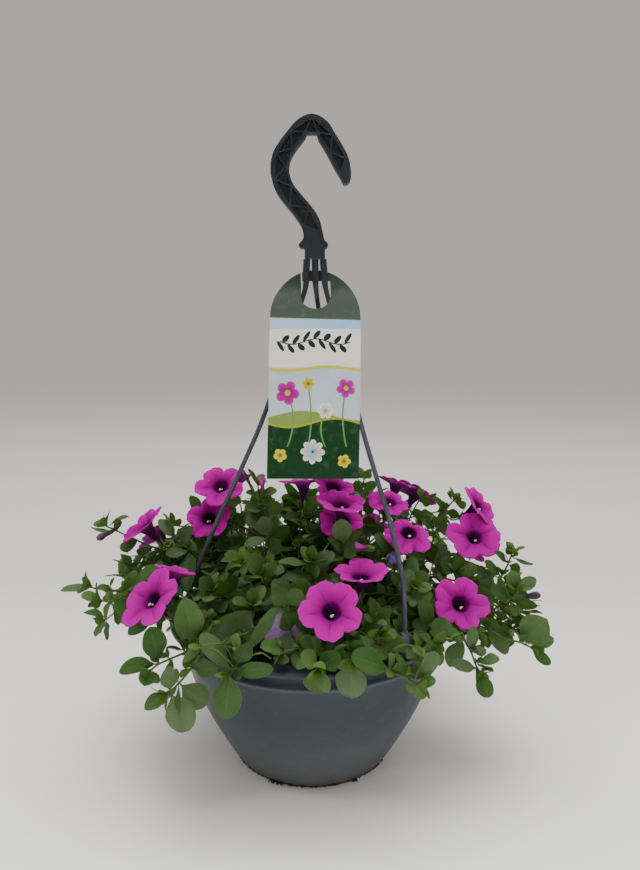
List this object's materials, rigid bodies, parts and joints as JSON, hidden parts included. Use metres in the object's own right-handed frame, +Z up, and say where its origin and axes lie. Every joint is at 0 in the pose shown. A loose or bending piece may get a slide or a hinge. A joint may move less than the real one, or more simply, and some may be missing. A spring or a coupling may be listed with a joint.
{
  "type": "potted petunia in a hanging basket",
  "caption": "Petunia with magenta flowers in a round tapered plastic hanging pot, with a clip-on arm hanger, a moulded hook, a printed hang tag and a soil label.",
  "frame": {"origin": "centre of the underside of the pot's base", "axes": "+Z up along the pot's axis; -Y towards the front, where the hang tag and the soil label face; +X to the right seen from the front"},
  "size_m": [0.4367, 0.3785, 0.5875],
  "materials": {
    "pot_plastic": "slate grey moulded plastic, satin, with fine scuffs and a line of dried soil at the foot",
    "hanger_plastic": "anthracite moulded plastic, satin",
    "plate_plastic": "black moulded plastic, hidden under the compost",
    "compost": null,
    "printed_tag": "thin plastic card printed with plain colour bands, satin",
    "lilac_label": "thin lilac plastic, matt",
    "foliage": null,
    "magenta_petal": "soft velvety magenta petals with creases, near-black purple throats and dark tubes",
    "dark_bud": "dark purple closed buds with green calyces",
    "faded_petal": "withered, crumpled violet petal"
  },
  "bodies": {
    "root": {"bud_crest": "magenta_petal", "bud_crest_dark": "dark_bud", "bud_front": "dark_bud", "bud_front_left": "dark_bud", "bud_left": "dark_bud", "bud_right": "dark_bud", "flower_back": "magenta_petal", "flower_back_left": "magenta_petal", "flower_back_low_left": "magenta_petal", "flower_back_low_right": "magenta_petal", "flower_back_right": "magenta_petal", "flower_behind_wire": "magenta_petal", "flower_crest_centre": "magenta_petal", "flower_crest_drooping": "magenta_petal", "flower_crest_low": "magenta_petal", "flower_crest_near": "magenta_petal", "flower_crest_right": "magenta_petal", "flower_far_left": "magenta_petal", "flower_far_right": "magenta_petal", "flower_front": "magenta_petal", "flower_front_left": "magenta_petal", "flower_furled": "magenta_petal", "flower_left": "magenta_petal", "flower_left_inner": "magenta_petal", "flower_left_middle": "magenta_petal", "flower_low_centre": "magenta_petal", "flower_mid_right": "magenta_petal", "flower_right": "magenta_petal", "flower_right_top": "magenta_petal", "flower_right_upper": "magenta_petal", "flower_spent": "faded_petal", "flower_upper_left": "magenta_petal", "hang_tag": "printed_tag", "hanger_arm_back": "hanger_plastic", "hanger_arm_left": "hanger_plastic", "hanger_arm_right": "hanger_plastic", "hanger_hook": "hanger_plastic", "plant_label": "lilac_label", "pot_shell": "pot_plastic", "potting_soil": "compost", "reservoir_plate": "plate_plastic", "shoots_back": "foliage", "shoots_back_crest": "foliage", "shoots_back_left": "foliage", "shoots_back_left_low": "foliage", "shoots_back_right": "foliage", "shoots_back_right_low": "foliage", "shoots_centre": "foliage", "shoots_crest": "foliage", "shoots_filling": "foliage", "shoots_front": "foliage", "shoots_front_left": "foliage", "shoots_inner": "foliage", "shoots_left": "foliage", "shoots_right": "foliage", "shoots_right_top": "foliage"}
  },
  "joints": []
}
